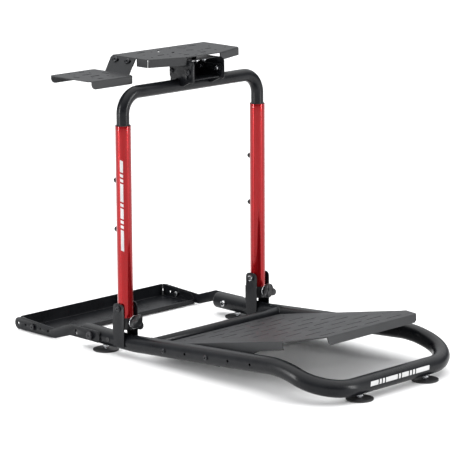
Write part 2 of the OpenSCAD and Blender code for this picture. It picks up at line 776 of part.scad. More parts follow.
module deck_holes_2d() {
  // wheel bolt rectangle
  for (x = [-0.5, 0.5], y = [-0.5, 0.5])
    translate([x * wheel_pitch_x, -62 + y * wheel_pitch_y]) circle(d = device_hole);
  // slots for other wheel bases
  for (s = [-1, 1]) {
    translate([s * 46, -92]) rotate([0, 0, s * 52]) slot_2d(30, 7);
    translate([s * 34, -42]) rotate([0, 0, s * 30]) slot_2d(24, 7);
    translate([s * 96, -28]) slot_2d(26, 7);
    translate([s * 104, -106]) slot_2d(30, 7);
    translate([s * 92, 8]) circle(d = 7);
    translate([s * 132, -62]) circle(d = 7);
    translate([s * 148, -10]) circle(d = 7);
    translate([s * 18, -112]) circle(d = 7);
    translate([s * 34, 16]) slot_2d(22, 7);
  }
}

// flange along the slanted part of the front edge
module slanted_flange() translate([deck_mid_half, deck_front_y, deck_z - lip])
  rotate([0, 0, edge_turn]) translate([1.5, -sheet, 0]) cube([edge_len - 2.6, sheet, lip]);

// outward leaning tab that carries the shifter bracket
module leaning_tab() translate([deck_half, tab_y0, deck_z]) rotate([0, -shelf_lean, 0])
  difference() {
    translate([-sheet, 0, -tab_len]) cube([sheet, tab_y1 - tab_y0, tab_len - 0.5]);
    for (y = shifter_bolt_ys) translate([-sheet - 1, y - tab_y0, -shifter_bolt_s])
      rotate([0, 90, 0]) cylinder(r = m8_r + snug, h = sheet + 2);
  }

module wheel_deck() color("#5d5f64") centred() difference() {
  union() {
    translate([0, 0, deck_under]) linear_extrude(sheet) difference() {
      deck_plan_2d();
      deck_holes_2d();
    }
    both_sides() {
      slanted_flange();
      leaning_tab();
      translate([deck_half - sheet, tab_y1 + 2, deck_z - lip])
        cube([sheet, deck_side_y - tab_y1 - 3.2, lip]);
    }
  }
  for (p = screw_places) translate([p[0], p[1], deck_z - 3.1]) {
    cylinder(r1 = 3.1, r2 = 6.1, h = 3.2);
    translate([0, 0, -1]) cylinder(r = 3.1, h = 3);
  }
}

// ---------- shifter shelf ----------

module at_tab(y, out) translate([deck_half, y, deck_z]) rotate([0, -shelf_lean, 0])
  translate([out, 0, -shifter_bolt_s]) rotate([0, 90, 0]) children();

module shifter_bolts() color("#2f3136") centred() for (y = shifter_bolt_ys)
  at_tab(y, sheet + 2 * slide_gap) button_bolt(m8_r, 2 * sheet + 12, head_r + 1.5, head_h);

module shifter_nuts() color("#8f9297") centred() for (y = shifter_bolt_ys)
  at_tab(y, -sheet - snug - nut_h) hex_nut(m8_r + run_fit, m8_nut_r, nut_h);

module shifter_bracket() translate([deck_half, 0, deck_z]) rotate([0, -shelf_lean, 0])
  difference() {
    translate([slide_gap, -140, -bracket_len - 3.5]) cube([sheet, 104, bracket_len + 1.5]);
    for (y = shifter_bolt_ys) translate([-1, y, -shifter_bolt_s]) rotate([90, 0, 90])
      linear_extrude(sheet + 4) slot_2d(2 * shelf_travel + 2 * tilt_slot_r, 2 * tilt_slot_r);
  }

module shelf_plan_2d() difference() {
  polygon([[shelf_inner, -shelf_rear], [shelf_outer - 10, -shelf_rear],
           [shelf_outer, -shelf_rear + 10], [shelf_outer, -shelf_front - 8],
           [shelf_outer - 8, -shelf_front], [shelf_inner + 8, -shelf_front],
           [shelf_inner, -shelf_front - 20]]);
  for (x = [-0.5, 0.5], y = [-0.5, 0.5])
    translate([300 + x * shifter_pitch_x, -106 + y * shifter_pitch_y]) circle(d = device_hole);
  for (s = [-1, 1]) {
    translate([300, -106 + s * 18]) slot_2d(34, 7);
    translate([300 + s * 56, -106]) rotate([0, 0, 90]) slot_2d(30, 7);
    translate([300 + s * 20, -106 + s * 64]) slot_2d(22, 7);
    translate([300 + s * 24, -106 - s * 68]) circle(d = 7);
  }
}

// shelf flange with a rounded outer end, drawn in (x, z)
module shelf_flange_2d() {
  x0 = shelf_inner + 8;
  x1 = shelf_outer - 8;
  round_in = lip * 0.8;
  translate([x0, shelf_z - lip]) square([x1 - round_in - x0, lip - 1]);
  translate([x0, shelf_z - lip + round_in]) square([x1 - x0, lip - 1 - round_in]);
  translate([x1 - round_in, shelf_z - lip + round_in]) circle(r = round_in);
}

module shifter_shelf() color("#55575c") centred() {
  shifter_bracket();
  translate([0, 0, shelf_z - sheet]) linear_extrude(sheet) shelf_plan_2d();
  translate([0, -shelf_front, 0]) rotate([90, 0, 0]) linear_extrude(sheet) shelf_flange_2d();
  translate([0, -shelf_rear + sheet, 0]) rotate([90, 0, 0]) linear_extrude(sheet)
    shelf_flange_2d();
}

// ---------- pedal deck ----------

module pedal_frame() translate([0, pedal_rear, pedal_rear_z]) rotate([pedal_slope, 0, 0])
  children();

module pedal_plan_2d() {
  row_step = (pedal_len - 90) / (pedal_rows - 1);
  difference() {
    polygon([[-pedal_half, 0], [pedal_half, 0], [pedal_half, pedal_wide_len],
             [pedal_nose_half, pedal_len], [-pedal_nose_half, pedal_len],
             [-pedal_half, pedal_wide_len]]);
    for (i = [0:pedal_rows - 1], j = [-1.5:1.5])
      translate([j * (i % 2 == 0 ? 92 : 84), 45 + i * row_step]) slot_2d(slot_len, slot_w);
    for (s = [-0.5, 0.5], i = [0, 1])
      translate([s * pedal_square, pedal_hole_start + i * pedal_square]) circle(d = device_hole);
  }
}

// side sheet under the pedal plate, drawn in (y, z)
module gusset_2d() {
  top = tan(pedal_slope);
  difference() {
    polygon([[138, pedal_rear_z + top * 18 - 1], [620, pedal_rear_z + top * 500 - 1],
             [632, pedal_rear_z + top * 500 - 4], [632, 131], [622, 127], [528, 106],
             [378, 34], [366, 30], [338, 30], [138, 33]]);
    for (i = [0, 2]) slot_between(
      [row_y(i), rail_height(row_y(i))],
      [row_y(i) - pedal_travel * cos(rail_rise), rail_height(row_y(i) - pedal_travel * cos(rail_rise))],
      2 * tilt_slot_r);
  }
}

module pedal_plate() color("#4b4d52") centred() {
  pedal_frame() {
    translate([0, 0, -sheet]) linear_extrude(sheet) pedal_plan_2d();
    translate([0, pedal_len, 0]) rotate([90, 0, 0]) linear_extrude(sheet)
      polygon([[-pedal_nose_half + 1, -1], [pedal_nose_half - 1, -1],
               [pedal_nose_half - 4, -lip + 6], [pedal_nose_half - 12, -lip],
               [-pedal_nose_half + 12, -lip], [-pedal_nose_half + 4, -lip + 6]]);
  }
  both_sides() side_plate(gusset_in, gusset_t) gusset_2d();
}

// ---------- chair tray ----------

module tray_end() side_plate(tray_half - tray_end_t, tray_end_t) difference() {
  polygon([[-tray_rear, tray_z], [-tray_rear, tray_wall], [-tray_rear + 14, tray_wall],
           [-tray_rear + 60, 36], [-tray_rear + tray_depth - 20, 32],
           [-tray_rear + tray_depth, tray_lip], [-tray_rear + tray_depth, tray_z]]);
  translate([arm_mid_y, arm_hole_z])
    slot_2d(2 * tray_travel + 2 * tilt_slot_r, 2 * tilt_slot_r);
}

module chair_tray() color("#2e3034") centred() {
  both_sides() tray_end();
  translate([-tray_half, -tray_rear, tray_z]) cube([2 * tray_half, tray_depth, tray_sheet]);
  translate([-tray_half, -tray_rear, tray_z])
    cube([2 * tray_half, tray_sheet, tray_wall - tray_z]);
  translate([-tray_half, -tray_rear + tray_depth - tray_sheet, tray_z])
    cube([2 * tray_half, tray_sheet, tray_lip - tray_z]);
}

base_frame();
rail_end_caps();
rail_plugs();
cross_tube();
foot_bosses();
hinge_bracket_right();
hinge_bracket_left();
pivot_bolts();
pivot_nuts();
pivot_washers();
pedal_bolts();
pedal_nuts();
tray_arm_right();
tray_arm_left();
arm_bolts();
arm_nuts();
tray_bolts();
tray_nuts();
foot_lock_nuts();
foot_pad_rear_right();
foot_pad_rear_left();
foot_pad_front_right();
foot_pad_front_left();
foot_stem_rear_right();
foot_stem_rear_left();
foot_stem_front_right();
foot_stem_front_left();
upright_right();
upright_left();
tube_foot_right();
tube_foot_left();
top_bushings();
clamp_bosses();
clamp_bolts();
knob_right();
knob_left();
knob_stud_right();
knob_stud_left();
hoop();
leg_caps();
bar_bracket();
tilt_pivot_bolts();
tilt_pivot_nuts();
tilt_lock_bolts();
tilt_lock_nuts();
deck_channel();
wheel_deck();
deck_spacers();
deck_screws();
deck_screw_nuts();
shifter_bolts();
shifter_nuts();
shifter_shelf();
pedal_plate();
chair_tray();
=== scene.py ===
import math
import random

import bmesh
import bpy
from mathutils import Matrix, Vector


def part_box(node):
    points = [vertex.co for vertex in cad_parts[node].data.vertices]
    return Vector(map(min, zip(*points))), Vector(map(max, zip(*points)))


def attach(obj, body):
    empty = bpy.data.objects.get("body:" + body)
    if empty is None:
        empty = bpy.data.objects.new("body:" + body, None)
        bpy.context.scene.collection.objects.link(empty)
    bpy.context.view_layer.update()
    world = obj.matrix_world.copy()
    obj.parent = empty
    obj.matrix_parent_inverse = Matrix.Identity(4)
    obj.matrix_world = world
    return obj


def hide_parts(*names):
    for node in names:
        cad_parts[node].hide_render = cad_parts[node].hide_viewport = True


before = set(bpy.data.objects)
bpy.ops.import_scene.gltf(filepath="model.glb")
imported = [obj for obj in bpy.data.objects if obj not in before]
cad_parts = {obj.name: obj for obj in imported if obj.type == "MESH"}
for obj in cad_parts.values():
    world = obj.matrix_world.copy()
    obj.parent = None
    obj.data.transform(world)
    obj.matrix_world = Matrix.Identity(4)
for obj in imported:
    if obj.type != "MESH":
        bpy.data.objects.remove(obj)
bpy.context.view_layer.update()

scene = bpy.context.scene

# ---------- the stand's own coordinates ----------
# Millimetres from the middle of the stand and the plane of the uprights, turned into metres of the row frame.
bolt_lo, bolt_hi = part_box("pivot_bolts")
MID_X = (bolt_lo.x + bolt_hi.x) / 2
MID_Y = (bolt_lo.y + bolt_hi.y) / 2


def at(x, y, z):
    return Vector((x / 1000 + MID_X, y / 1000 + MID_Y, z / 1000))


def top_of(node):
    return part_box(node)[1].z * 1000


# Tubes: their radii, how far rails and uprights are from the middle, and the height of the hoop's bar
RAIL_R = 25.0
UPRIGHT_R = 23.0
HOOP_R = 19.0
TRACK = 274.0
HOOP_Z = top_of("hoop") - HOOP_R

# The rails run level at RAIL_Z and climb by RISE from CLIMB_Y. The loop dips by DIP to the front bar.
RAIL_Z = 42.0
CLIMB_Y = 39.0
RISE = math.radians(4.22)
DIP = math.radians(16)
FRONT_Y, FRONT_Z = 805.0, 40.0
ROW_Y, ROW_STEP = 188.0, 88.0

# Sheet metal: thickness, fold radius at mid thickness, reach of a square fold, depth of a rim below it
SHEET = 3.0
FOLD = 3.0
FOLD_OUT = FOLD + SHEET / 2
RIM = 25.0 - FOLD_OUT
DECK_Z = top_of("wheel_deck")

# Holes: radii for M6 and M8 bolts, width of the slots for accessories and for the M8 bolts
M6_HOLE = 3.3
M8_HOLE = 4.1
NARROW = 7.0
BOLT_SLOT = 8.8

# The deck's side tabs and the shelf's wall lie together, TAB_FOLD degrees from level
TAB_FOLD = 60
TAB_LEAN = math.radians(90 - TAB_FOLD)
SHIFTER_BOLTS_Y = (-62.0, -114.0)

# Half the slide of the shelf and of the tray, and the length between the end centres of the pedal slots
SHELF_TRAVEL = 10.0
TRAY_TRAVEL = 30.0
PEDAL_SLOT_RUN = 35.0

UP = Vector((0, 0, 1))
DOWN = Vector((0, 0, -1))


def rail_height(y):
    return RAIL_Z + math.tan(RISE) * (y - CLIMB_Y) if y > CLIMB_Y else RAIL_Z


def row_y(i):
    """Place along a rail of its hole number i, counted from the rear."""
    return ROW_Y + i * ROW_STEP * math.cos(RISE)


# ---------- materials ----------
def new_material(name):
    mat = bpy.data.materials.new(name)
    mat.use_nodes = True
    nodes = mat.node_tree.nodes
    links = mat.node_tree.links
    shader = nodes["Principled BSDF"]
    coords = nodes.new("ShaderNodeTexCoord")
    return mat, nodes, links, shader, coords.outputs["Object"]


def noise(nodes, links, coords, scale, detail=3.0, rough=0.55, stretch=None):
    tex = nodes.new("ShaderNodeTexNoise")
    tex.inputs["Scale"].default_value = scale
    tex.inputs["Detail"].default_value = detail
    tex.inputs["Roughness"].default_value = rough
    source = coords
    if stretch:
        mapping = nodes.new("ShaderNodeMapping")
        mapping.inputs["Scale"].default_value = stretch
        links.new(coords, mapping.inputs["Vector"])
        source = mapping.outputs["Vector"]
    links.new(source, tex.inputs["Vector"])
    return tex.outputs["Fac"]


def spread(nodes, links, value, low, high, lo_in=0.3, hi_in=0.7):
    rng = nodes.new("ShaderNodeMapRange")
    rng.inputs["From Min"].default_value = lo_in
    rng.inputs["From Max"].default_value = hi_in
    rng.inputs["To Min"].default_value = low
    rng.inputs["To Max"].default_value = high
    links.new(value, rng.inputs["Value"])
    return rng.outputs["Result"]


def two_tone(nodes, links, value, dark, light):
    ramp = nodes.new("ShaderNodeValToRGB")
    ramp.color_ramp.elements[0].position = 0.35
    ramp.color_ramp.elements[0].color = (*dark, 1)
    ramp.color_ramp.elements[1].position = 0.65
    ramp.color_ramp.elements[1].color = (*light, 1)
    links.new(value, ramp.inputs["Fac"])
    return ramp.outputs["Color"]


def bumpy(nodes, links, height, strength, distance, under=None):
    bump = nodes.new("ShaderNodeBump")
    bump.inputs["Strength"].default_value = strength
    bump.inputs["Distance"].default_value = distance
    links.new(height, bump.inputs["Height"])
    if under:
        links.new(under, bump.inputs["Normal"])
    return bump.outputs["Normal"]


def coated(name, dark, light, rough_lo, rough_hi, grain, grain_depth, specular=0.5, metal=0.0,
           coat=0.0, coat_rough=0.1):
    """Painted or moulded surface: faint cloudy colour, uneven gloss and a fine grain."""
    mat, nodes, links, shader, coords = new_material(name)
    cloud = noise(nodes, links, coords, 14.0, 4.0)
    fine = noise(nodes, links, coords, grain, 3.0, 0.6)
    peel = noise(nodes, links, coords, grain / 5, 2.0, 0.5)
    links.new(two_tone(nodes, links, cloud, dark, light), shader.inputs["Base Color"])
    mixed = nodes.new("ShaderNodeMath")
    mixed.operation = "ADD"
    links.new(cloud, mixed.inputs[0])
    links.new(fine, mixed.inputs[1])
    links.new(spread(nodes, links, mixed.outputs[0], rough_lo, rough_hi, 0.75, 1.25),
              shader.inputs["Roughness"])
    low = bumpy(nodes, links, peel, 0.35, grain_depth * 1.5)
    links.new(bumpy(nodes, links, fine, 0.6, grain_depth, low), shader.inputs["Normal"])
    shader.inputs["Specular IOR Level"].default_value = specular
    shader.inputs["Metallic"].default_value = metal
    shader.inputs["Coat Weight"].default_value = coat
    shader.inputs["Coat Roughness"].default_value = coat_rough
    return mat


def brushed(name, dark, light, rough_lo, rough_hi):
    """Plated steel with faint streaks and clouded spots."""
    mat, nodes, links, shader, coords = new_material(name)
    cloud = noise(nodes, links, coords, 60.0, 5.0)
    streak = noise(nodes, links, coords, 720.0, 2.0, 0.5, (1.0, 1.0, 0.15))
    links.new(two_tone(nodes, links, cloud, dark, light), shader.inputs["Base Color"])
    links.new(spread(nodes, links, streak, rough_lo, rough_hi), shader.inputs["Roughness"])
    links.new(bumpy(nodes, links, streak, 0.25, 0.00004), shader.inputs["Normal"])
    shader.inputs["Metallic"].default_value = 1.0
    return mat


MATERIALS = {
    "black_powder_coat": coated("black_powder", (0.0038, 0.0042, 0.0052), (0.0062, 0.0068, 0.0082),
                                0.25, 0.34, 1500.0, 0.00005, specular=0.18),
    "grey_powder_coat": coated("grey_powder", (0.0085, 0.0092, 0.0105), (0.0135, 0.0145, 0.0160),
                               0.44, 0.56, 1300.0, 0.00006, specular=0.34),
    "red_gloss_paint": coated("red_gloss", (0.235, 0.0006, 0.0024), (0.255, 0.0008, 0.0029),
                              0.15, 0.18, 700.0, 0.000001, specular=0.20, metal=0.65, coat=0.35,
                              coat_rough=0.04),
    "black_plastic": coated("black_plastic", (0.006, 0.006, 0.007), (0.010, 0.010, 0.011),
                            0.30, 0.44, 2200.0, 0.00005, specular=0.35),
    "foot_rubber": coated("foot_rubber", (0.007, 0.007, 0.008), (0.012, 0.012, 0.013),
                          0.50, 0.68, 1800.0, 0.00009, specular=0.4),
    "zinc_steel": brushed("zinc_steel", (0.42, 0.43, 0.45), (0.58, 0.59, 0.60), 0.22, 0.40),
    "black_steel": coated("black_steel", (0.008, 0.008, 0.010), (0.014, 0.015, 0.017),
                          0.20, 0.28, 1900.0, 0.00003, specular=0.30),
    "bright_plating": brushed("bright_plating", (0.66, 0.67, 0.69), (0.80, 0.81, 0.82), 0.10, 0.22),
}
WHITE_PRINT = coated("white_print", (0.42, 0.42, 0.42), (0.50, 0.50, 0.50),
                     0.34, 0.48, 1600.0, 0.00002)
WELD = coated("weld_coat", (0.006, 0.007, 0.008), (0.010, 0.011, 0.013), 0.30, 0.44, 900.0, 0.0001,
              specular=0.32)


# ---------- shared builders ----------
def finish_shading(obj, angle=35):
    me = obj.data
    me.polygons.foreach_set("use_smooth", [True] * len(me.polygons))
    me.set_sharp_from_angle(angle=math.radians(angle))


def piece(name, bm, material, body, nodes=(), angle=35):
    me = bpy.data.meshes.new(name)
    bm.normal_update()
    bm.to_mesh(me)
    bm.free()
    obj = bpy.data.objects.new(name, me)
    scene.collection.objects.link(obj)
    me.materials.append(material)
    finish_shading(obj, angle)
    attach(obj, body)
    if nodes:
        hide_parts(*nodes)
    return obj


def add_bevel(obj, width, segments=2, angle=35):
    mod = obj.modifiers.new("edges", "BEVEL")
    mod.width = width / 1000
    mod.segments = segments
    mod.limit_method = "ANGLE"
    mod.angle_limit = math.radians(angle)
    mod.harden_normals = True
    mod.use_clamp_overlap = True


def arc(cx, cy, r, a0, a1, steps):
    """Points of an arc in the plane, angles in degrees, both ends included."""
    return [(cx + r * math.cos(math.radians(a0 + (a1 - a0) * i / steps)),
             cy + r * math.sin(math.radians(a0 + (a1 - a0) * i / steps))) for i in range(steps + 1)]


def circle(cx, cy, r, n=24):
    return arc(cx, cy, r, 0, 360, n)[:-1]


def bolt_rectangle(cx, cy, dx, dy):
    """Four M6 holes, dx and dy from their middle."""
    return [circle(cx + sx * dx, cy + sy * dy, M6_HOLE) for sx in (-1, 1) for sy in (-1, 1)]


def mirrored(side):
    """Whole outline from its half on the plus side, across the middle."""
    return side + [(-u, v) for u, v in reversed(side)]


def slot_loop(cx, cy, length, width, turn=0.0, steps=8):
    """Closed outline of a round-ended slot."""
    half = (length - width) / 2
    loop = arc(half, 0, width / 2, -90, 90, steps) + arc(-half, 0, width / 2, 90, 270, steps)
    c, s = math.cos(math.radians(turn)), math.sin(math.radians(turn))
    return [(cx + x * c - y * s, cy + x * s + y * c) for x, y in loop]


def fill_sheet(bm, outline, holes, place):
    """Flat part of a sheet: place turns its two coordinates into a point."""
    edges = []
    for loop in [outline, *holes]:
        verts = [bm.verts.new(place(u, v)) for u, v in loop]
        edges += [bm.edges.new((verts[i - 1], verts[i])) for i in range(len(verts))]
    bmesh.ops.triangle_fill(bm, use_beauty=True, use_dissolve=False, edges=edges)


def fold(bm, p, q, out, down, angle, outline, holes=(), radius=FOLD, steps=6):
    """Rounded fold along p to q and the flange that follows it, drawn from the fold's end."""
    r = radius / 1000
    turn = math.radians(angle)
    rows = []
    for i in range(steps + 1):
        t = turn * i / steps
        shift = out * (r * math.sin(t)) + down * (r * (1 - math.cos(t)))
        rows.append((bm.verts.new(p + shift), bm.verts.new(q + shift)))
    for a, b in zip(rows, rows[1:]):
        bm.faces.new((a[0], a[1], b[1], b[0]))
    start = rows[-1][0].co.copy()
    along = (q - p).normalized()
    away = out * math.cos(turn) + down * math.sin(turn)
    fill_sheet(bm, outline, holes, lambda u, v: start + along * (u / 1000) + away * (v / 1000))


def sheet_piece(name, bm, body, node, slot):
    """Object from a sheet's middle surface, given its thickness and small rounded edges."""
    bmesh.ops.remove_doubles(bm, verts=bm.verts, dist=2e-6)
    bmesh.ops.recalc_face_normals(bm, faces=bm.faces)
    obj = piece(name, bm, MATERIALS[slot], body, [node], 50)
    solid = obj.modifiers.new("sheet", "SOLIDIFY")
    solid.thickness = SHEET / 1000
    solid.offset = 0.0
    solid.use_even_offset = True
    add_bevel(obj, 0.45, 2, 50)


def revolve(bm, centre, axis, profile, n=64):
    """Solid of revolution: profile gives (radius, height) along the axis, in millimetres."""
    axis = axis.normalized()
    side = axis.orthogonal().normalized()
    other = axis.cross(side)
    rings = []
    for r, h in profile:
        base = centre + axis * (h / 1000)
        if r < 1e-6:
            rings.append([bm.verts.new(base)])
            continue
        rings.append([bm.verts.new(base + (side * math.cos(2 * math.pi * i / n)
                                           + other * math.sin(2 * math.pi * i / n)) * (r / 1000))
                      for i in range(n)])
    for a, b in zip(rings, rings[1:]):
        for i in range(n):
            j = (i + 1) % n
            if len(a) == 1 and len(b) > 1:
                bm.faces.new((a[0], b[j], b[i]))
            elif len(b) == 1 and len(a) > 1:
                bm.faces.new((a[i], a[j], b[0]))
            elif len(a) > 1:
                bm.faces.new((a[i], a[j], b[j], b[i]))
    bmesh.ops.recalc_face_normals(bm, faces=bm.faces)


def sweep(bm, path, radius, n=40, closed=False, wobble=None):
    """Round bar along a path of points in metres; radius in millimetres."""
    count = len(path)
    rings = []
    normal = None
    for i, p in enumerate(path):
        if closed:
            tangent = (path[(i + 1) % count] - path[i - 1]).normalized()
        else:
            tangent = (path[min(i + 1, count - 1)] - path[max(i - 1, 0)]).normalized()
        if normal is None:
            normal = tangent.orthogonal().normalized()
        normal = (normal - tangent * normal.dot(tangent)).normalized()
        other = tangent.cross(normal)
        r = (radius + (wobble(i) if wobble else 0)) / 1000
        rings.append([bm.verts.new(p + (normal * math.cos(2 * math.pi * k / n)
                                        + other * math.sin(2 * math.pi * k / n)) * r)
                      for k in range(n)])
    for a, b in zip(rings, rings[1:]):
        for k in range(n):
            j = (k + 1) % n
            bm.faces.new((a[k], a[j], b[j], b[k]))
    if closed:
        a, b = rings[-1], rings[0]
        shift = min(range(n), key=lambda s: (a[0].co - b[s].co).length)
        for k in range(n):
            j = (k + 1) % n
            bm.faces.new((a[k], a[j], b[(j + shift) % n], b[(k + shift) % n]))
    else:
        bm.faces.new(rings[0][::-1])
        bm.faces.new(rings[-1])
    bmesh.ops.recalc_face_normals(bm, faces=bm.faces)


# ---------- CAD parts that keep their own shape ----------
# Bevel widths in millimetres where the usual 0.3 doesn't suit. At 0 there is no bevel.
EDGE = {"base_frame": 0.0, "hoop": 0.0, "upright_right": 0.0, "upright_left": 0.0,
        "hinge_bracket_right": 0.5, "hinge_bracket_left": 0.5, "tray_arm_right": 0.7,
        "tray_arm_left": 0.7, "deck_channel": 0.4, "bar_bracket": 0.4, "rail_end_caps": 0.6,
        "rail_plugs": 0.25, "arm_bolts": 0.4, "tray_bolts": 0.35, "deck_screws": 0.15,
        "top_bushings": 0.5, "clamp_bosses": 0.6, "tube_foot_right": 0.5, "tube_foot_left": 0.5}

for name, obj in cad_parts.items():
    slot_name = obj.data.materials[0].name.split(".")[0]
    obj.data.materials[0] = MATERIALS[slot_name]
    obj.data.polygons.foreach_set("use_smooth", [True] * len(obj.data.polygons))
    weld = obj.modifiers.new("weld", "WELD")
    weld.merge_threshold = 0.00001
    width = EDGE.get(name, 0.3)
    if width:
        flat = obj.modifiers.new("flat", "DECIMATE")
        flat.decimate_type = "DISSOLVE"
        flat.angle_limit = math.radians(1.0)
        add_bevel(obj, width, 2, 32)


# ---------- wheel deck ----------
def wheel_deck():
    """Flat deck with a rim round its front, and a tab on each side that carries a shelf."""
    bm = bmesh.new()
    z = DECK_Z - SHEET / 2
    half, rear, side_y, front, mid = 186.0, -139.0, 12.0, 53.0, 67.0
    rim_rear, tab_front = -35.0, -38.5
    setback, overlap, chamfer = 0.15, 0.75, 3.0
    x_rim = half - FOLD_OUT
    lean_in = FOLD_OUT * math.tan(TAB_LEAN)
    x_tab = half - lean_in
    # the slanted front edge, from a to b, meets the side rim at its corner
    slant = Vector((half - mid, side_y - front, 0)).normalized()
    slant_out = Vector((-slant.y, slant.x, 0))
    a = Vector((mid, front, 0)) + slant * 2.0 - slant_out * FOLD_OUT
    reach = (half - FOLD_OUT - mid + slant_out.x * FOLD_OUT) / slant.x
    meet = Vector((mid, front, 0)) + slant * reach - slant_out * FOLD_OUT
    b = meet - slant * setback
    rim_front = meet.y - setback
    outline = mirrored([(mid, front), (mid + 1.2, front - 2.6), (a.x, a.y), (b.x, b.y),
                        (x_rim, rim_front), (x_rim, rim_rear), (x_rim, rim_rear - 2),
                        (x_tab, tab_front), (x_tab, rear)])
    holes = bolt_rectangle(0, -62, 70, 35)
    for s in (-1, 1):
        holes += [slot_loop(s * 46, -92, 30, NARROW, s * 52), slot_loop(s * 34, -42, 24, NARROW, s * 30),
                  slot_loop(s * 96, -28, 26, NARROW), slot_loop(s * 104, -106, 30, NARROW),
                  circle(s * 92, 8, NARROW / 2), circle(s * 132, -62, NARROW / 2),
                  circle(s * 148, -10, NARROW / 2), circle(s * 18, -112, NARROW / 2),
                  slot_loop(s * 34, 16, 22, NARROW), circle(s * 38, -8, 6.0), circle(s * 16, 38, 6.0)]
    fill_sheet(bm, outline, holes, lambda x, y: at(x, y, z))
    tab, tab_chamfer, bolt_depth = 30.0 - lean_in, 5.0, 15 - lean_in
    for s in (-1, 1):
        p, q = at(s * a.x, a.y, z), at(s * b.x, b.y, z)
        length = (q - p).length * 1000
        fold(bm, p, q, Vector((s * slant_out.x, slant_out.y, 0)), DOWN, 90,
             [(0, 0), (length, 0), (length + overlap, 2 * overlap), (length + overlap, RIM),
              (chamfer, RIM), (0, RIM - chamfer)])
        p, q = at(s * x_rim, rim_front, z), at(s * x_rim, rim_rear, z)
        length = (q - p).length * 1000
        fold(bm, p, q, Vector((s, 0, 0)), DOWN, 90,
             [(0, 0), (length, 0), (length, RIM - chamfer), (length - chamfer, RIM), (-overlap, RIM),
              (-overlap, 2 * overlap)])
        p, q = at(s * x_tab, tab_front, z), at(s * x_tab, rear, z)
        length = (q - p).length * 1000
        fold(bm, p, q, Vector((s, 0, 0)), DOWN, TAB_FOLD,
             [(0, 0), (length, 0), (length, tab - tab_chamfer), (length - tab_chamfer, tab),
              (tab_chamfer, tab), (0, tab - tab_chamfer)],
             [circle(tab_front - y, bolt_depth, M8_HOLE) for y in SHIFTER_BOLTS_Y])
    sheet_piece("deck_sheet", bm, "wheel_deck", "wheel_deck", "grey_powder_coat")


# ---------- shifter shelf ----------
def shifter_shelf():
    """Small shelf with a rim at front and rear, and a leaning wall that bolts to the deck's tab."""
    bm = bmesh.new()
    deck_half, gap, hang, play = 186.0, 26.0, 52.0, 1.8
    z = DECK_Z - hang * math.cos(TAB_LEAN) - SHEET / 2
    inner, outer, rear, front = deck_half + gap, 384.0, -196.0, -16.0
    y_front, y_rear = front - FOLD_OUT, rear + FOLD_OUT
    wall_front, wall_rear = -36.0, -140.0
    bend = FOLD * math.tan(TAB_LEAN)
    reach = (DECK_Z + play * math.sin(TAB_LEAN) - z) / math.cos(TAB_LEAN)
    x_fold = deck_half + play * math.cos(TAB_LEAN) + reach * math.sin(TAB_LEAN) + bend
    outline = [(x_fold, wall_front), (x_fold, wall_rear), (inner + 0.8, wall_rear - 1.5),
               (inner + 0.8, rear + 8), (inner + 4, y_rear), (inner + 8, y_rear),
               (outer - 8, y_rear), (outer - 3, rear + 7), (outer, rear + 12),
               (outer, front - 11), (outer - 3, front - 7), (outer - 8, y_front),
               (inner + 8, y_front), (inner + 5.5, front - 8), (inner + 4.9, wall_front + 2)]
    mid_x, mid_y = 300, -106
    holes = bolt_rectangle(mid_x, mid_y, 30, 40)
    for s in (-1, 1):
        holes += [slot_loop(mid_x, mid_y + s * 18, 34, NARROW),
                  slot_loop(mid_x + s * 56, mid_y, 30, NARROW, 90),
                  slot_loop(mid_x + s * 20, mid_y + s * 64, 22, NARROW),
                  circle(mid_x + s * 24, mid_y - s * 68, NARROW / 2)]
    fill_sheet(bm, outline, holes, lambda x, y: at(x, y, z))
    length = outer - inner - 16
    corner = 16.0
    rim = [(0, 0), (length, 0), (length, RIM - corner)]
    rim += arc(length - corner, RIM - corner, corner, 0, 90, 8)[1:] + [(3, RIM), (0, RIM - 3)]
    for y, out in ((y_front, 1), (y_rear, -1)):
        fold(bm, at(inner + 8, y, z), at(outer - 8, y, z), Vector((0, out, 0)), DOWN, 90, rim)
    width = wall_front - wall_rear
    height = reach - 2.0 - bend
    slot_length = 2 * SHELF_TRAVEL + BOLT_SLOT
    slots = [slot_loop(wall_front - y, reach - bend - 15.0, slot_length, BOLT_SLOT)
             for y in SHIFTER_BOLTS_Y]
    fold(bm, at(x_fold, wall_front, z), at(x_fold, wall_rear, z), Vector((-1, 0, 0)), UP, TAB_FOLD,
         [(0, 0), (width, 0), (width, height - 6), (width - 6, height), (6, height), (0, height - 6)],
         slots)
    sheet_piece("shelf_sheet", bm, "shifter_shelf", "shifter_shelf", "grey_powder_coat")


# ---------- pedal plate ----------
PEDAL_SLOPE = math.radians(11.2)
PEDAL_REAR = (120.0, 52.0)


def on_pedals(x, u, w):
    """Point above the sloping plate: x across, u up the slope from its rear edge, w out of it."""
    c, s = math.cos(PEDAL_SLOPE), math.sin(PEDAL_SLOPE)
    return at(x, PEDAL_REAR[0] + u * c - w * s, PEDAL_REAR[1] + u * s + w * c)


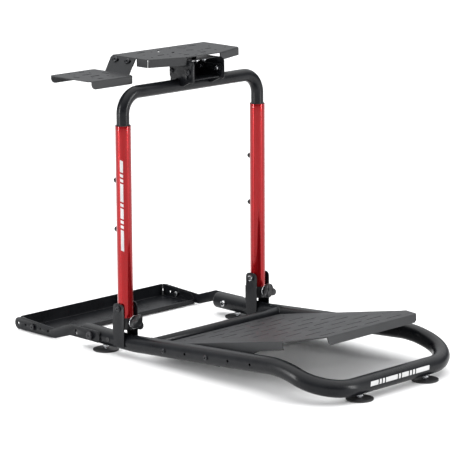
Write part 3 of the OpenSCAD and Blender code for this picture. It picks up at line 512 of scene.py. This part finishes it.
def pedal_plate():
    """Slotted plate with a rim along its front edge and a tapered sheet under each side."""
    bm = bmesh.new()
    half, length, wide, nose = 248.7, 619.0, 522.0, 185.0
    w = -SHEET / 2
    tight = 1.6
    tight_out = tight + SHEET / 2
    x_fold = half - tight_out
    u0, u1 = 19.0, 505.0
    end = length - FOLD_OUT
    outline = mirrored([(half, 0.8), (half, u0 - 3), (x_fold, u0 - 1), (x_fold, u0), (x_fold, u1),
                        (x_fold, u1 + 1), (half, u1 + 3), (half, wide), (nose + 3.0, length - 4.5),
                        (nose - 1.0, end)])
    rows, columns, margin = 9, 4, 45
    step = (length - 2 * margin) / (rows - 1)
    holes = [slot_loop((j - (columns - 1) / 2) * (92 if i % 2 == 0 else 84), margin + i * step, 62, NARROW)
             for i in range(rows) for j in range(columns)]
    holes += bolt_rectangle(0, 265, 205, 205)
    fill_sheet(bm, outline, holes, lambda x, u: on_pedals(x, u, w))
    normal = (on_pedals(0, 0, 1) - on_pedals(0, 0, 0)).normalized()
    along = (on_pedals(0, 1, 0) - on_pedals(0, 0, 0)).normalized()
    span = 2 * (nose - 1.0)
    fold(bm, on_pedals(nose - 1, end, w), on_pedals(1 - nose, end, w), along, -normal, 90,
         [(0, 0), (span, 0), (span - 3, RIM - 6), (span - 11, RIM), (11, RIM), (3, RIM - 6)])

    def on_side(y, z):
        """Point of a side sheet, from the stand's y and z to along and down from the fold's end."""
        dy, dz = y - PEDAL_REAR[0], z - PEDAL_REAR[1]
        c, s = math.cos(PEDAL_SLOPE), math.sin(PEDAL_SLOPE)
        return (dy * c + dz * s - u0, dy * s - dz * c - tight_out)

    lower = [(622, 127), (528, 106), (378, 34), (366, 30), (338, 30), (138.6, 33)]
    sheet = [(0, 0), (u1 - u0, 0), (u1 - u0, on_side(631, 131)[1])] + [on_side(y, z) for y, z in lower]
    cuts = []
    for i in (0, 2):
        y = row_y(i)
        y2 = y - PEDAL_SLOT_RUN * math.cos(RISE)
        a, b = on_side(y, rail_height(y)), on_side(y2, rail_height(y2))
        run = math.hypot(a[0] - b[0], a[1] - b[1])
        turn = math.degrees(math.atan2(a[1] - b[1], a[0] - b[0]))
        cuts.append(slot_loop((a[0] + b[0]) / 2, (a[1] + b[1]) / 2, run + BOLT_SLOT, BOLT_SLOT, turn))
    for s in (-1, 1):
        fold(bm, on_pedals(s * x_fold, u0, w), on_pedals(s * x_fold, u1, w), Vector((s, 0, 0)), -normal,
             90, sheet, cuts, tight)
    sheet_piece("pedal_sheet", bm, "pedal_deck", "pedal_plate", "grey_powder_coat")


# ---------- chair tray ----------
def chair_tray():
    """Open tray: a high rear wall, a low front lip and two sloping ends with a slot each."""
    bm = bmesh.new()
    half, rear, depth, floor = 298.8, -457.0, 155.0, 2.5
    wall_top, lip_top, slot_y, slot_z = 42.0, 17.0, -389.0, 20.5
    z = floor + SHEET / 2
    x_fold = half - FOLD_OUT
    y0, y1 = rear + FOLD_OUT, rear + depth - FOLD_OUT
    gap = 1.2
    outline = mirrored([(x_fold - gap, y0), (x_fold, y0 + gap), (x_fold, y1 - gap), (x_fold - gap, y1)])
    fill_sheet(bm, outline, [], lambda x, y: at(x, y, z))
    base = floor + FOLD_OUT
    wall, lip = wall_top - base, lip_top - base
    span = 2 * (x_fold - gap)
    for y, out, high in ((y0, -1, wall), (y1, 1, lip)):
        fold(bm, at(gap - x_fold, y, z), at(x_fold - gap, y, z), Vector((0, out, 0)), UP, 90,
             [(0, 0), (span, 0), (span, high), (0, high)])
    run = y1 - y0 - 2 * gap
    shift = -(y0 + gap)
    end = [(0, 0), (run, 0), (run + 2, lip), (rear + depth - 20 + shift, 32 - base),
           (rear + 60 + shift, 36 - base), (rear + 14 + shift, wall), (-2, wall)]
    cut = slot_loop(slot_y + shift, slot_z - base, 2 * TRAY_TRAVEL + BOLT_SLOT, BOLT_SLOT)
    for s in (-1, 1):
        fold(bm, at(s * x_fold, y0 + gap, z), at(s * x_fold, y1 - gap, z), Vector((s, 0, 0)), UP, 90,
             end, [cut])
    sheet_piece("tray_sheet", bm, "chair_tray", "chair_tray", "black_powder_coat")


# ---------- locking knobs ----------
def knob(name, node, body, side, turn):
    """Three soft lobes with a crowned face and a dimple in its middle, on a round hub."""
    bm = bmesh.new()
    z = 107.0
    y0 = UPRIGHT_R + 0.8 + 15.1
    core, lobe_height = 14.5, 10.4
    n = 96
    # each row: a radius, or a factor on the lobed outline where the second value is true, then a height
    rows = [(12.0, False, 0.4), (12.0, False, 4.0), (0.88, True, 4.2), (0.97, True, 5.0),
            (1.0, True, 6.8), (1.0, True, 14.5), (0.985, True, 17.0), (0.93, True, 19.0),
            (0.84, True, 20.3), (0.72, True, 20.9), (9.0, False, 21.0), (7.2, False, 20.7),
            (6.4, False, 19.6), (0.0, False, 19.2)]
    rings = []
    for size, lobed, h in rows:
        if size == 0:
            rings.append([bm.verts.new(at(side * TRACK, y0 + h, z))])
            continue
        ring = []
        for i in range(n):
            t = 2 * math.pi * i / n
            lobe = ((1 + math.cos(3 * (t - math.radians(turn)))) / 2) ** 0.85
            r = size * (core + lobe_height * lobe) if lobed else size
            ring.append(bm.verts.new(at(side * TRACK + r * math.cos(t), y0 + h, z - r * math.sin(t))))
        rings.append(ring)
    for a, b in zip(rings, rings[1:]):
        for i in range(n):
            j = (i + 1) % n
            bm.faces.new((a[i], a[j], b[0]) if len(b) == 1 else (a[i], a[j], b[j], b[i]))
    bm.faces.new(rings[0][::-1])
    bmesh.ops.recalc_face_normals(bm, faces=bm.faces)
    piece(name, bm, MATERIALS["black_plastic"], body, [node], 40)


# ---------- levelling feet ----------
def foot(tag, x, y, top):
    """Round rubber pad, and a threaded stem that ends at the height top."""
    body = "foot_" + tag
    bm = bmesh.new()
    profile = [(0, 0.3), (30, 0.3), (31.5, 0.0), (37.2, 0.0), (38.4, 0.4), (39.0, 1.3), (39.0, 3.2),
               (38.5, 4.2), (37.0, 4.85), (34.0, 5.0), (20, 5.15), (14.5, 5.3), (12.6, 5.6),
               (11.6, 5.8), (6.2, 5.8), (5.6, 5.4), (5.1, 4.4), (0, 4.2)]
    revolve(bm, at(x, y, 0), UP, profile, 72)
    piece("pad_" + tag, bm, MATERIALS["foot_rubber"], body, ["foot_pad_" + tag], 30)
    bm = bmesh.new()
    bottom, crest, thread_depth = 2.3, 4.95, 0.75
    pitch, rows_a_turn, around = 1.5, 6, 24
    rows = int((top - bottom) / pitch * rows_a_turn)
    grid = []
    for k in range(rows + 1):
        z = bottom + (top - bottom) * k / rows
        ring = []
        for i in range(around):
            phase = (z / pitch - i / around) % 1.0
            r = crest - thread_depth * abs(2 * phase - 1)
            t = 2 * math.pi * i / around
            ring.append(bm.verts.new(at(x + r * math.cos(t), y + r * math.sin(t), z)))
        grid.append(ring)
    for a, b in zip(grid, grid[1:]):
        for i in range(around):
            j = (i + 1) % around
            bm.faces.new((a[i], a[j], b[j], b[i]))
    bm.faces.new(grid[0][::-1])
    bm.faces.new(grid[-1])
    piece("stem_" + tag, bm, MATERIALS["zinc_steel"], body, ["foot_stem_" + tag], 60)


# ---------- printed stripes ----------
def print_on_tube(name, body, place, blocks, half_height, lean_over):
    """Slanted blocks of print, each (start, end) along the tube, bent round its surface."""
    bm = bmesh.new()
    steps, lean = 6, 4.0
    sunk, proud = -0.2, 0.12
    for start, end in blocks:
        rows = []
        for k in range(steps + 1):
            v = -half_height + 2 * half_height * k / steps
            cut = lean * (v / lean_over)
            rows.append([[bm.verts.new(place(u, v, h)) for u in (start + cut, end + cut)]
                         for h in (sunk, proud)])
        for a, b in zip(rows, rows[1:]):
            bm.faces.new((a[1][0], a[1][1], b[1][1], b[1][0]))
            for e in (0, 1):
                bm.faces.new((a[0][e], a[1][e], b[1][e], b[0][e]))
        for r in (rows[0], rows[-1]):
            bm.faces.new((r[0][0], r[0][1], r[1][1], r[1][0]))
    bmesh.ops.recalc_face_normals(bm, faces=bm.faces)
    piece(name, bm, WHITE_PRINT, body)


def marks():
    """Blocks down the front of both uprights and along the front bar, in place of lettering."""
    gap = 5.0
    blocks = []
    u = 0.0
    for length in (34, 9, 9, 52, 9, 30, 9, 9, 60):
        blocks.append((u, u + length))
        u += length + gap
    total = u - gap
    top, run = 586, 267
    for s, tag in ((1, "right"), (-1, "left")):
        def place(v_along, v_round, h, s=s):
            t = math.radians(32) + v_round / UPRIGHT_R
            r = UPRIGHT_R + h
            return at(s * (TRACK + r * math.cos(t)), r * math.sin(t), top - v_along * run / total)
        print_on_tube("upright_stripes_" + tag, "uprights", place, blocks, 4.6, 11.0)

    bar_start, bar_run = 118, 244

    def on_bar(v_along, v_round, h):
        t = math.radians(10) + v_round / RAIL_R
        r = RAIL_R + h
        return at(bar_start - v_along * bar_run / total, FRONT_Y + r * math.cos(t),
                  FRONT_Z + r * math.sin(t))
    print_on_tube("front_bar_stripes", "base", on_bar, blocks, 6.5, 13.0)


# ---------- welds ----------
def weld_bead(name, body, path):
    """Closed rippled bead along a path of points."""
    rng = random.Random(3)
    ripple = [0.35 * math.sin(i * 1.9) + rng.uniform(-0.12, 0.12) for i in range(len(path))]
    bm = bmesh.new()
    sweep(bm, path, 1.9, 10, True, lambda i: ripple[i])
    piece(name, bm, WELD, body)


def welds():
    """A bead where each end of the cross tube meets its rail."""
    tube_y, tube_z, bead_r, n = 100, 50, 17.4, 72
    for s, tag in ((1, "right"), (-1, "left")):
        path = []
        for i in range(n):
            t = 2 * math.pi * i / n
            y, z = tube_y + bead_r * math.cos(t), tube_z + bead_r * math.sin(t)
            x = TRACK - math.sqrt(max(RAIL_R ** 2 - (z - rail_height(y)) ** 2, 0))
            path.append(at(s * (x + 0.2), y, z))
        weld_bead("cross_tube_weld_" + tag, "base", path)


# ---------- bent tubes ----------
def base_path():
    """Centreline of the base tube, from the right rail's rear end round the front to the left one's."""
    start_y, knee_r, corner_r = -170, 400, 112
    knee = knee_r * math.tan(RISE / 2)
    nose_y = FRONT_Y - corner_r * math.cos(DIP)
    nose_z = FRONT_Z + corner_r * math.sin(DIP)
    drop = rail_height(nose_y) - nose_z
    crest = drop / (1 / math.cos(RISE) - math.cos(DIP) + math.tan(RISE) * math.sin(DIP))
    side = [(TRACK, start_y + 12 * i, RAIL_Z) for i in range(16)]
    side += [(TRACK, y, z) for y, z in arc(CLIMB_Y - knee, RAIL_Z + knee_r, knee_r, -90,
                                           math.degrees(RISE) - 90, 6)]
    crest_y = nose_y - crest * math.sin(DIP)
    crest_z = nose_z - crest * math.cos(DIP)
    bend = [(TRACK, y, z) for y, z in arc(crest_y, crest_z, crest, 90 + math.degrees(RISE),
                                          90 - math.degrees(DIP), 16)]
    last, first = side[-1], bend[0]
    side += [tuple(last[k] + (first[k] - last[k]) * i / 24 for k in range(3)) for i in range(1, 24)]
    side += bend
    for i in range(1, 25):
        a = math.radians(90 * i / 24)
        side.append((TRACK - corner_r + corner_r * math.cos(a),
                     nose_y + corner_r * math.sin(a) * math.cos(DIP),
                     nose_z - corner_r * math.sin(a) * math.sin(DIP)))
    bar = [(x * (TRACK - corner_r) / 10, FRONT_Y, FRONT_Z) for x in range(9, -10, -1)]
    return side + bar + [(-x, y, z) for x, y, z in reversed(side)]


def cut_holes(obj, holes):
    """Drills round holes, each (centre, direction, radius, depth) in stand millimetres."""
    bm = bmesh.new()
    for centre, axis, r, depth in holes:
        revolve(bm, at(*centre), Vector(axis), [(0, 0), (r, 0), (r, depth), (0, depth)], 32)
    me = bpy.data.meshes.new("drill")
    bm.to_mesh(me)
    bm.free()
    tool = bpy.data.objects.new("drill", me)
    scene.collection.objects.link(tool)
    mod = obj.modifiers.new("holes", "BOOLEAN")
    mod.operation = "DIFFERENCE"
    mod.solver = "EXACT"
    mod.object = tool
    bpy.context.view_layer.update()
    dg = bpy.context.evaluated_depsgraph_get()
    cut = bpy.data.meshes.new_from_object(obj.evaluated_get(dg))
    obj.modifiers.clear()
    old = obj.data
    obj.data = cut
    bpy.data.meshes.remove(old)
    bpy.data.objects.remove(tool)
    finish_shading(obj, 40)


def base_tube():
    """Base tube with five pedal holes, an arm bolt's hole and a plug's hole in each rail."""
    bm = bmesh.new()
    sweep(bm, [at(*p) for p in base_path()], RAIL_R, 56)
    obj = piece("base_tube", bm, MATERIALS["black_powder_coat"], "base", ["base_frame"],
                60)
    outside, through, blind = TRACK + 30, 60, 12
    arm_y, arm_hole, plug_y, plug_hole = -125, 5.1, -52, 5.0
    holes = []
    for s in (-1, 1):
        inward = (-s, 0, 0)
        for i in range(5):
            y = row_y(i)
            holes.append(((s * outside, y, rail_height(y)), inward, M8_HOLE, through))
        holes.append(((s * outside, arm_y, RAIL_Z), inward, arm_hole, through))
        holes.append(((s * outside, plug_y, RAIL_Z), inward, plug_hole, blind))
    cut_holes(obj, holes)


def hoop_tube():
    """Hoop from the foot of one leg over the bar to the foot of the other."""
    foot_z, bend_r = 330, 60
    leg_top = HOOP_Z - bend_r
    side = [(TRACK, 0, foot_z + (leg_top - foot_z) * i / 20) for i in range(21)]
    side += [(x, 0, z) for x, z in arc(TRACK - bend_r, leg_top, bend_r, 0, 90, 20)[1:]]
    bar = [(x * (TRACK - bend_r) / 12, 0, HOOP_Z) for x in range(11, -12, -1)]
    path = side + bar + [(-x, y, z) for x, y, z in reversed(side)]
    bm = bmesh.new()
    sweep(bm, [at(*p) for p in path], HOOP_R, 56)
    piece("hoop_tube", bm, MATERIALS["black_powder_coat"], "hoop", ["hoop"], 60)


def upright_tubes():
    """Coloured tubes, hollow, with softly rounded ends."""
    low, high, bore = 117.0, 685.0, 21.0
    profile = [(bore, low + 0.8), (21.3, low + 0.2), (21.9, low), (22.4, low + 0.1), (22.85, low + 0.5),
               (UPRIGHT_R, low + 1.2)]
    profile += [(UPRIGHT_R, low + 1.2 + (high - low - 2.4) * i / 30) for i in range(1, 31)]
    profile += [(22.85, high - 0.5), (22.4, high - 0.1), (21.9, high), (21.3, high - 0.2),
                (bore, high - 0.8), (bore, low + 0.8)]
    for s, tag in ((1, "right"), (-1, "left")):
        bm = bmesh.new()
        revolve(bm, at(s * TRACK, 0, 0), UP, profile, 72)
        bmesh.ops.remove_doubles(bm, verts=bm.verts, dist=1e-6)
        piece("red_tube_" + tag, bm, MATERIALS["red_gloss_paint"], "uprights", ["upright_" + tag],
              60)


# ---------- floor, light and camera ----------
def strip_light(name, location, power):
    """Tall soft box that faces the stand's middle."""
    data = bpy.data.lights.new(name, "AREA")
    data.shape = "RECTANGLE"
    data.size = 0.35
    data.size_y = 2.4
    data.energy = power
    obj = bpy.data.objects.new(name, data)
    scene.collection.objects.link(obj)
    obj.location = location
    obj.rotation_mode = "QUATERNION"
    obj.rotation_quaternion = (Vector((0, 0, 0.5)) - Vector(location)).to_track_quat("-Z", "Y")


def studio():
    """Pale floor, a sky that brightens towards its top, a wide soft sun and two strip lights."""
    bm = bmesh.new()
    bmesh.ops.create_grid(bm, x_segments=2, y_segments=2, size=40)
    me = bpy.data.meshes.new("floor")
    bm.to_mesh(me)
    bm.free()
    floor = bpy.data.objects.new("floor", me)
    scene.collection.objects.link(floor)
    mat, nodes, links, shader, coords = new_material("pale_floor")
    cloud = noise(nodes, links, coords, 0.6, 2.0)
    links.new(two_tone(nodes, links, cloud, (0.80, 0.80, 0.80), (0.83, 0.83, 0.83)),
              shader.inputs["Base Color"])
    shader.inputs["Roughness"].default_value = 0.6
    shader.inputs["Specular IOR Level"].default_value = 0.2
    me.materials.append(mat)

    world = bpy.data.worlds.new("studio")
    scene.world = world
    world.use_nodes = True
    tree = world.node_tree
    background = tree.nodes["Background"]
    coords = tree.nodes.new("ShaderNodeTexCoord")
    split = tree.nodes.new("ShaderNodeSeparateXYZ")
    ramp = tree.nodes.new("ShaderNodeValToRGB")
    ramp.color_ramp.elements[0].position = 0.0
    ramp.color_ramp.elements[0].color = (0.07, 0.072, 0.078, 1)
    ramp.color_ramp.elements[1].position = 0.85
    ramp.color_ramp.elements[1].color = (1.0, 1.0, 1.0, 1)
    middle = ramp.color_ramp.elements.new(0.35)
    middle.color = (0.20, 0.207, 0.218, 1)
    tree.links.new(coords.outputs["Generated"], split.inputs["Vector"])
    tree.links.new(split.outputs["Z"], ramp.inputs["Fac"])
    tree.links.new(ramp.outputs["Color"], background.inputs["Color"])
    background.inputs["Strength"].default_value = 2.1
    sun = bpy.data.lights.new("overhead", "SUN")
    sun.energy = 1.1
    sun.angle = math.radians(100)
    lamp = bpy.data.objects.new("overhead", sun)
    scene.collection.objects.link(lamp)
    lamp.rotation_mode = "QUATERNION"
    lamp.rotation_quaternion = Vector((0.35, 0.30, -1.0)).to_track_quat("-Z", "Y")
    strip_light("strip_left", (4.2, -1.6, 1.3), 160)
    strip_light("strip_right", (-1.8, 4.2, 1.3), 130)


def camera():
    """Camera fitted to the photograph: its place, axes and a small roll."""
    data = bpy.data.cameras.new("camera")
    data.sensor_width = 36
    data.sensor_fit = "HORIZONTAL"
    data.lens = 200.2
    data.shift_x = -0.0077
    data.shift_y = -0.0049
    data.clip_start = 0.1
    data.clip_end = 200
    cam = bpy.data.objects.new("camera", data)
    scene.collection.objects.link(cam)
    roll = math.radians(-0.31)
    right = Vector((-0.7147, 0.6994, 0.0))
    back = Vector((0.6838, 0.6987, 0.2103))
    up = Vector((-0.1471, -0.1503, 0.9776))
    r = right * math.cos(roll) + up * math.sin(roll)
    u = up * math.cos(roll) - right * math.sin(roll)
    turn = Matrix((r.normalized(), u.normalized(), back.normalized())).transposed()
    cam.matrix_world = Matrix.Translation((5.0179, 5.1360, 1.9306)) @ turn.to_4x4()
    scene.camera = cam


# ---------- the whole scene ----------
base_tube()
hoop_tube()
upright_tubes()
wheel_deck()
shifter_shelf()
pedal_plate()
chair_tray()
knob("knob_grip_right", "knob_right", "knob_r", 1, 10)
knob("knob_grip_left", "knob_left", "knob_l", -1, 41)
for side_tag, side_sign in (("right", 1), ("left", -1)):
    foot("rear_" + side_tag, side_sign * TRACK, -89, 41)
for side_tag, side_sign in (("right", 1), ("left", -1)):
    foot("front_" + side_tag, side_sign * 136, FRONT_Y, 39)
marks()
welds()
studio()
camera()
scene.view_settings.view_transform = "Standard"

bpy.context.view_layer.update()
